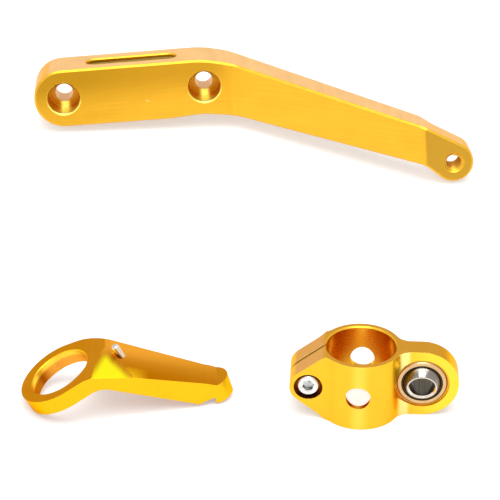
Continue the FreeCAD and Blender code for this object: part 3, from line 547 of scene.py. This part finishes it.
# Tones per bracket: side is the dye, top is painted light on upward faces (paler on the frame bracket, darker on
# the others), rim is a painted highlight along edges
gold = {
    "frame_bracket": {
        "name": "gold_anodised_frame_bracket", "lie": "frame",
        "side": (238, 179, 46), "top": (250, 207, 146), "top_span": (0.80, 0.93), "rim": (255, 226, 92),
        "edge": 0.8 * mm, "edge_tint": (255, 225, 190), "floor_sees": (236, 214, 190),
        "pitch": 0.9 * mm, "run": 34 * mm, "line_tone": 0.34, "gloss": 0.33, "uneven": 0.16,
        "bump": 0.012 * mm, "coat": 0.09,
        "changes": [padPaintedShade, bendPaintedShadeBands, tipPaintedShade, nick, counterborePaintedLight, slotPaintedLight]},
    "stem_bracket": {
        "name": "gold_anodised_stem_bracket", "lie": "stem",
        "side": (237, 187, 27), "top": (202, 132, 30), "top_span": (0.62, 0.8), "rim": (246, 196, 56),
        "edge": 0.25 * mm, "edge_tint": (255, 210, 170), "floor_sees": (196, 132, 56),
        "pitch": 0.5 * mm, "run": 14 * mm, "line_tone": 0.2, "gloss": 0.3, "uneven": 0.16,
        "bump": 0.010 * mm, "coat": 0.0,
        "changes": [armPaintedLight, backEdgePaintedHighlight, facetPaintedHighlight, cuspsWithPaintedHighlight, stemRingPaintedLight]},
    "clamp_body": {
        "name": "gold_anodised_clamp", "lie": "clamp",
        "side": (238, 187, 44), "top": (210, 152, 56), "top_span": (0.62, 0.85), "rim": (255, 226, 92),
        "edge": 0.22 * mm, "edge_tint": (255, 215, 160), "floor_sees": (212, 174, 124),
        "pitch": 0.35 * mm, "run": 20 * mm, "line_tone": 0.08, "gloss": 0.27, "uneven": 0.04,
        "bump": 0.003 * mm, "coat": 0.06,
        "changes": [frontPaintedHighlight, lugPaintedLight, cornerPaintedHighlight, earPaintedLight, borePaintedShadeAndLight, wellPaintedShade, seatPaintedShade]},
}

# Spherical bearing
bearingMarks = {
    "lip": (8.1 * mm, 7.85 * mm), "lip_tone": (74, 54, 24), "ball_lean": 12.4, "bore": (4.88 * mm, 4.83 * mm),
    "streaks": (900, 30, 900), "dark_streak": (52, 46, 38), "light_streak": (118, 110, 100),
    "mouth": (5.75 * mm, 5.6 * mm), "mouth_tone": (232, 220, 206)}


def raceLipPaintedShade(tree, place, colour):  # painted shade: the race's inner lip is dark, its face is bright
    lip = ramp(tree, awayFrom(tree, place, bearingCentre), bearingMarks["lip"])
    return paint(tree, lip, colour, bearingMarks["lip_tone"])


def ballBorePaintedLight(tree, place, colour):  # the ball's bore in painted shade, streaked, and a painted highlight as a bright ring at its mouth
    leant = turnedPlace(tree, place, location=bearingCentre,
                        rotation=(math.radians(bearingMarks["ball_lean"]), 0, 0))
    away = awayFrom(tree, leant, (0, 0, 0))
    drawn = addNode(tree, "ShaderNodeMapping", {"Vector": leant, "Scale": bearingMarks["streaks"]})
    streak = addNode(tree, "ShaderNodeTexNoise", {"Vector": drawn.outputs[0], "Scale": 1.0, "Detail": 2.0})
    wall = blendColour(tree, streak.outputs["Fac"], screenColour(bearingMarks["dark_streak"]),
                       screenColour(bearingMarks["light_streak"]))
    colour = paint(tree, ramp(tree, away, bearingMarks["mouth"]), colour, bearingMarks["mouth_tone"])
    return blendColour(tree, ramp(tree, away, bearingMarks["bore"]), colour, wall)


# Plain steel and lining, with a painted highlight along their edges
steel = {"edge": 0.2 * mm, "drift_size": 3 * mm, "rim_highlight": 0.6}


def makeMetal(finish):
    material, tree, shader = newMaterial(finish["name"])
    place = localPlace(tree, finish["lie"])
    lined = turnedPlace(tree, place, rotation=(math.radians(finish["line_turn"]), 0, 0))
    lines = useGroup(tree, cutterLines, {
        "Place": lined, "Pitch": finish["pitch"], "Run": finish["run"]}).outputs[0]
    rim = useGroup(tree, edgeRim, {"Width": steel["edge"]})
    drift = useGroup(tree, mottle, {"Place": lined, "Size": steel["drift_size"]}).outputs[0]
    mixed = blendColour(tree, lines, screenColour(finish["dark"]), screenColour(finish["light"]))
    drifted = addNode(tree, "ShaderNodeHueSaturation", {
        "Color": mixed, "Value": maths(tree, "MULTIPLY_ADD", drift, finish["drift"], 1.0)}).outputs[0]
    # painted highlight along the edges
    rimHighlight = maths(tree, "MULTIPLY", rim.outputs["Rim"], steel["rim_highlight"])
    colour = paint(tree, rimHighlight, drifted, finish["rim"])
    for change in finish.get("changes", []):
        colour = change(tree, place, colour)
    rough = maths(tree, "MULTIPLY_ADD", lines, finish["gloss_swing"], finish["gloss"])
    bump = addNode(tree, "ShaderNodeBump", {"Height": lines, "Distance": finish["bump"]})
    tree.links.new(colour, shader.inputs["Base Color"])
    tree.links.new(rough, shader.inputs["Roughness"])
    tree.links.new(bump.outputs[0], shader.inputs["Normal"])
    shader.inputs["Metallic"].default_value = finish["metallic"]
    return material


metals = {
    "locating_pin": {
        "name": "ground_pin_steel", "lie": "stem", "line_turn": 0, "dark": (188, 178, 170),
        "light": (232, 226, 220), "rim": (255, 250, 244), "pitch": 0.25 * mm, "run": 6 * mm, "drift": 0.08,
        "gloss": 0.2, "gloss_swing": 0.12, "bump": 0.006 * mm, "metallic": 1.0},
    "clamp_bolt": {
        "name": "plated_bolt_steel", "lie": "clamp", "line_turn": 90, "dark": (206, 206, 204),
        "light": (244, 244, 242), "rim": (255, 255, 255), "pitch": 0.2 * mm, "run": 3 * mm, "drift": 0.08,
        "gloss": 0.16, "gloss_swing": 0.14, "bump": 0.006 * mm, "metallic": 1.0},
    "bearing_race": {
        "name": "race_steel", "lie": "clamp", "line_turn": 90, "dark": (196, 160, 112),
        "light": (226, 190, 142), "rim": (246, 216, 170), "pitch": 0.18 * mm, "run": 4 * mm, "drift": 0.08,
        "gloss": 0.22, "gloss_swing": 0.14, "bump": 0.006 * mm, "metallic": 1.0, "changes": [raceLipPaintedShade]},
    "bearing_liner": {
        "name": "woven_liner", "lie": "clamp", "line_turn": 90, "dark": (48, 36, 22),
        "light": (92, 70, 44), "rim": (120, 96, 64), "pitch": 0.15 * mm, "run": 0.4 * mm, "drift": 0.2,
        "gloss": 0.6, "gloss_swing": 0.2, "bump": 0.02 * mm, "metallic": 0.0},
    # painted reflection: the polished ball's steel is darkened to stand for the dark surroundings it mirrors
    "bearing_ball": {
        "name": "polished_ball_steel", "lie": "clamp", "line_turn": 90, "dark": (124, 118, 110),
        "light": (150, 144, 136), "rim": (236, 230, 222), "pitch": 0.4 * mm, "run": 8 * mm, "drift": 0.12,
        "gloss": 0.15, "gloss_swing": 0.06, "bump": 0.002 * mm, "metallic": 1.0, "changes": [ballBorePaintedLight]},
    # painted shade: the socket's steel is darker than the head's
    "screw_socket": {
        "name": "screw_socket_steel", "lie": "clamp", "line_turn": 0, "dark": (150, 153, 150),
        "light": (226, 228, 225), "rim": (240, 240, 238), "pitch": 0.5 * mm, "run": 1 * mm, "drift": 0.3,
        "gloss": 0.2, "gloss_swing": 0.1, "bump": 0.004 * mm, "metallic": 1.0},
}

materials = {node: makeGold(finish) for node, finish in gold.items()}
materials.update({node: makeMetal(finish) for node, finish in metals.items()})
for node, piece in frame["nodes"].items():
    piece.data.materials.clear()
    piece.data.materials.append(materials[node])
print("finishes on", len(frame["nodes"]), "nodes")


# Pieces made here

def alongAxis(place, axis):  # a place whose Z runs along the axis
    return Matrix.Translation(place) @ Vector(axis).to_track_quat("Z", "Y").to_matrix().to_4x4()


def finishPiece(mesh, name, place, finishes, body):
    bmesh.ops.remove_doubles(mesh, verts=mesh.verts, dist=1e-7)
    bmesh.ops.recalc_face_normals(mesh, faces=mesh.faces)
    mesh.transform(place)
    data = bpy.data.meshes.new(name)
    mesh.to_mesh(data)
    mesh.free()
    piece = bpy.data.objects.new(name, data)
    bpy.context.scene.collection.objects.link(piece)
    for finish in finishes:
        data.materials.append(finish)
    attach(piece, body)
    return piece


# Threads: the ridge's half width is a share of the pitch
threadForm = {"foot_half": 0.44, "crest_half": 0.07}
rodThread = {"foot": 4.05 * mm, "crest": 3.34 * mm, "pitch": 1.25 * mm, "steps": 48}
threads = {
    "tip_thread_crests": {
        "mount": "tip_thread", "half": 5.8 * mm, "node": "frame_bracket", "body": "frame_arm"},
    "stem_thread_crests": {
        "mount": "stem_thread", "half": 2.5 * mm, "node": "stem_bracket", "body": "stem_link"},
}


def windRidge(mesh, thread, low, high):  # a thread's ridge, wound up the Z axis
    turns = (high - low) / thread["pitch"]
    steps = int(turns * thread["steps"])
    foot, crest = thread["foot"], thread["crest"]
    wide, narrow = thread["pitch"] * threadForm["foot_half"], thread["pitch"] * threadForm["crest_half"]
    corners = [mesh.verts.new((radius, 0, low + rise)) for radius, rise in (
        (foot, -wide), (crest, -narrow), (crest, narrow), (foot, wide))]
    section = mesh.faces.new(corners)
    bmesh.ops.spin(mesh, geom=[section], cent=(0, 0, 0), axis=(0, 0, 1), angle=turns * math.tau, steps=steps,
                   dvec=(0, 0, (high - low) / steps))


for name, thread in threads.items():
    ridge = bmesh.new()
    windRidge(ridge, rodThread, -thread["half"], thread["half"])
    mount = mounts[thread["mount"]]
    finishPiece(ridge, name, alongAxis(mount["pos_m"], mount["axis"]), [materials[thread["node"]]],
                thread["body"])
print("thread crests wound:", len(threads))

# Cap screw, seen from its head: Z runs out of the head, whose top is at zero
screw = {
    "facets": 96, "head": 4.25 * mm, "top_edge": 0.5 * mm, "head_height": 5 * mm, "under_edge": 0.35 * mm,
    "flutes": 24, "flute_depth": 0.13 * mm, "flute_runout": 0.12 * mm, "flute_high": -0.9 * mm,
    "flute_low": -4.5 * mm, "socket_half": 2.0 * mm, "socket_turn": 15, "socket_mouth": 2.5 * mm,
    "socket_lead": 0.2 * mm, "socket_depth": 2.5 * mm, "foot_share": 0.92, "foot_lead": 0.08 * mm,
    "drill_share": 0.06, "drill_depth": 3.2 * mm, "shank": 2.5 * mm, "neck_wide": 0.2 * mm,
    "neck_high": 0.25 * mm, "neck_low": -6.4 * mm, "neck_lead": 0.45 * mm, "core": 2.06 * mm,
    "tail": -17 * mm, "tail_edge": 0.45 * mm, "head_out": 7.8 * mm,
    "thread_low": -16.3 * mm, "thread_high": -7.2 * mm,
    "thread": {"foot": 2.04 * mm, "crest": 2.49 * mm, "pitch": 0.8 * mm, "steps": 36},
    # The socket's painted shade goes on faces between these heights and inside this radius
    "inside_low": -4 * mm, "inside_high": -0.19 * mm, "inside_radius": 2.4 * mm,
}


def nextRing(mesh, edges, height, reach):  # carries an open ring on to a new height and outline
    made = bmesh.ops.extrude_edge_only(mesh, edges=edges)["geom"]
    corners = {part for part in made if isinstance(part, bmesh.types.BMVert)}
    for corner in corners:
        angle = math.atan2(corner.co.y, corner.co.x)
        corner.co = (reach(angle) * math.cos(angle), reach(angle) * math.sin(angle), height)
    return [part for part in made if isinstance(part, bmesh.types.BMEdge) and set(part.verts) <= corners]


def circular(radius):
    return lambda angle: radius


def hexagon(angle):
    side = math.tau / 6
    return screw["socket_half"] / math.cos((angle - math.radians(screw["socket_turn"])) % side - side / 2)


def fluted(angle):
    step = math.floor(angle / math.tau * screw["facets"] + 0.5)
    perFlute = screw["facets"] // screw["flutes"]
    return screw["head"] - (screw["flute_depth"] if step % perFlute >= perFlute / 2 else 0)


def outerStops():  # heights and outlines down the screw's outside, from its socket's mouth to its tail
    under = -screw["head_height"]
    neckLow, tail = screw["neck_low"], screw["tail"]
    head, shank, core = screw["head"], screw["shank"], screw["core"]
    return [
        (0, circular(head - screw["top_edge"])),
        (-screw["top_edge"], circular(head)),
        (screw["flute_high"], circular(head)),
        (screw["flute_high"] - screw["flute_runout"], fluted),
        (screw["flute_low"] + screw["flute_runout"], fluted),
        (screw["flute_low"], circular(head - screw["flute_depth"])),
        (under, circular(head - screw["under_edge"])),
        (under, circular(shank + screw["neck_wide"])),
        (under - screw["neck_high"], circular(shank)),
        (neckLow, circular(shank)),
        (neckLow - screw["neck_lead"], circular(core)),
        (tail + screw["tail_edge"], circular(core)),
        (tail, circular(core - screw["tail_edge"]))]


def socketStops():  # heights and outlines down the socket, to the drill's point
    half, depth = screw["socket_half"], screw["socket_depth"]
    return [
        (-screw["socket_lead"], hexagon),
        (-depth, hexagon),
        (-depth - screw["foot_lead"], circular(half * screw["foot_share"])),
        (-screw["drill_depth"], circular(half * screw["drill_share"]))]


def isSocket(middle):
    level = screw["inside_low"] < middle.z < screw["inside_high"]
    return level and middle.xy.length < screw["inside_radius"]


def makeScrew():
    mesh = bmesh.new()
    bmesh.ops.create_circle(mesh, cap_ends=False, segments=screw["facets"], radius=screw["socket_mouth"])
    mouth = mesh.edges[:]
    for stops in (outerStops(), socketStops()):
        ring = mouth
        for height, reach in stops:
            ring = nextRing(mesh, ring, height, reach)
        bmesh.ops.contextual_create(mesh, geom=ring)
    for face in mesh.faces:
        face.material_index = 1 if isSocket(face.calc_center_median()) else 0
    windRidge(mesh, screw["thread"], screw["thread_low"], screw["thread_high"])
    outward = Vector(joints["bolt_turn"]["axis"])
    turn = Matrix((placeOf("clamp").to_3x3().col[0], (0, 0, 1), outward)).transposed().to_4x4()
    place = Matrix.Translation(Vector(joints["bolt_turn"]["pos_m"]) + outward * screw["head_out"]) @ turn
    piece = finishPiece(mesh, "fluted_cap_screw", place, [materials["clamp_bolt"], materials["screw_socket"]],
                        "bolt")
    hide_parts("clamp_bolt")


makeScrew()
print("cap screw turned, fluted and threaded")

# Floor and sky
studio = {"floor_size": 6.0, "floor_low": 0.05 * mm, "floor_colour": (0.8, 0.8, 0.8, 1),
          "floor_roughness": 0.9, "floor_lift": 0.34, "sky": 0.55, "sky_seen": 1.0, "white": (1, 1, 1, 1)}


def seenDirectly(tree):  # 1 where the camera, a reflection or a view through glass meets the surface
    path = addNode(tree, "ShaderNodeLightPath")
    mirrored = maths(tree, "MAXIMUM", path.outputs["Is Glossy Ray"], path.outputs["Is Transmission Ray"])
    return maths(tree, "MAXIMUM", path.outputs["Is Camera Ray"], mirrored)


def makeFloor():
    mesh = bmesh.new()
    bmesh.ops.create_grid(mesh, x_segments=4, y_segments=4, size=studio["floor_size"] / 2)
    data = bpy.data.meshes.new("floor")
    mesh.to_mesh(data)
    mesh.free()
    floor = bpy.data.objects.new("floor", data)
    bpy.context.scene.collection.objects.link(floor)
    floor.location = (0, 0, -studio["floor_low"])
    material, tree, shader = newMaterial("pale_floor")
    shader.inputs["Base Color"].default_value = studio["floor_colour"]
    shader.inputs["Roughness"].default_value = studio["floor_roughness"]
    shader.inputs["Specular IOR Level"].default_value = 0.0
    lift = maths(tree, "MULTIPLY", seenDirectly(tree), studio["floor_lift"])
    tree.links.new(lift, shader.inputs["Emission Strength"])
    shader.inputs["Emission Color"].default_value = studio["white"]
    data.materials.append(material)


def makeSky():
    world = bpy.data.worlds.new("studio")
    bpy.context.scene.world = world
    world.use_nodes = True
    tree = world.node_tree
    tree.nodes.clear()
    brighter = studio["sky_seen"] - studio["sky"]
    strength = maths(tree, "MULTIPLY_ADD", seenDirectly(tree), brighter, studio["sky"])
    sky = addNode(tree, "ShaderNodeBackground", {"Color": studio["white"], "Strength": strength})
    output = addNode(tree, "ShaderNodeOutputWorld")
    tree.links.new(sky.outputs[0], output.inputs["Surface"])


kitMiddle = Vector((-40 * mm, 110 * mm, 15 * mm))
lamps = {
    "front_lamp": {"towards": (0.0, -0.58, 0.81), "away": 1.3, "size": (0.7, 0.7), "glow": 1.4},
    "strip_lamp": {"towards": (0.0, -0.14, 0.99), "away": 1.0, "size": (1.35, 0.42), "glow": 1.9},
    "side_lamp": {"towards": (-0.9, -0.35, 0.5), "away": 1.4, "size": (0.5, 0.5), "glow": 1.2},
    "bearing_glint": {"towards": (0.0, -0.64, 0.77), "away": 1.2, "size": (0.62, 0.62), "glow": 7.0,
                      "lights": "bearing_ball"},
}
sun = {"towards": (0.05, -0.3, 1), "energy": 1.0, "angle": 50}


def facingAlong(towards):
    return Vector(towards).normalized().to_track_quat("Z", "Y").to_euler()


def makeLamp(name, setting):
    light = bpy.data.lights.new(name, "AREA")
    light.shape = "RECTANGLE"
    light.size, light.size_y = setting["size"]
    light.energy = setting["glow"] * math.pi * light.size * light.size_y
    lamp = bpy.data.objects.new(name, light)
    bpy.context.scene.collection.objects.link(lamp)
    lamp.location = kitMiddle + Vector(setting["towards"]).normalized() * setting["away"]
    lamp.rotation_euler = facingAlong(setting["towards"])
    if "lights" in setting:  # this lamp reaches one piece only
        reached = bpy.data.collections.new(name)
        reached.objects.link(frame["nodes"][setting["lights"]])
        lamp.light_linking.receiver_collection = reached


def makeSun():
    light = bpy.data.lights.new("soft_key", "SUN")
    light.energy = sun["energy"]
    light.angle = math.radians(sun["angle"])
    lamp = bpy.data.objects.new("soft_key", light)
    bpy.context.scene.collection.objects.link(lamp)
    lamp.rotation_euler = facingAlong(sun["towards"])


# Camera
view = {"place": (-42.4 * mm, -702.85 * mm, 486.1 * mm), "tilt": 59.4, "lens": 158.4, "sensor": 36.0,
        "nearest": 10 * mm}


def makeCamera():
    lens = bpy.data.cameras.new("camera")
    lens.lens = view["lens"]
    lens.sensor_width = view["sensor"]
    lens.clip_start = view["nearest"]
    camera = bpy.data.objects.new("camera", lens)
    camera.location = view["place"]
    camera.rotation_euler = (math.radians(view["tilt"]), 0, 0)
    bpy.context.scene.collection.objects.link(camera)
    bpy.context.scene.camera = camera


makeFloor()
makeSky()
for name, setting in lamps.items():
    makeLamp(name, setting)
makeSun()
makeCamera()
bpy.context.scene.view_settings.view_transform = "Standard"
print("floor, lamps and camera in place")
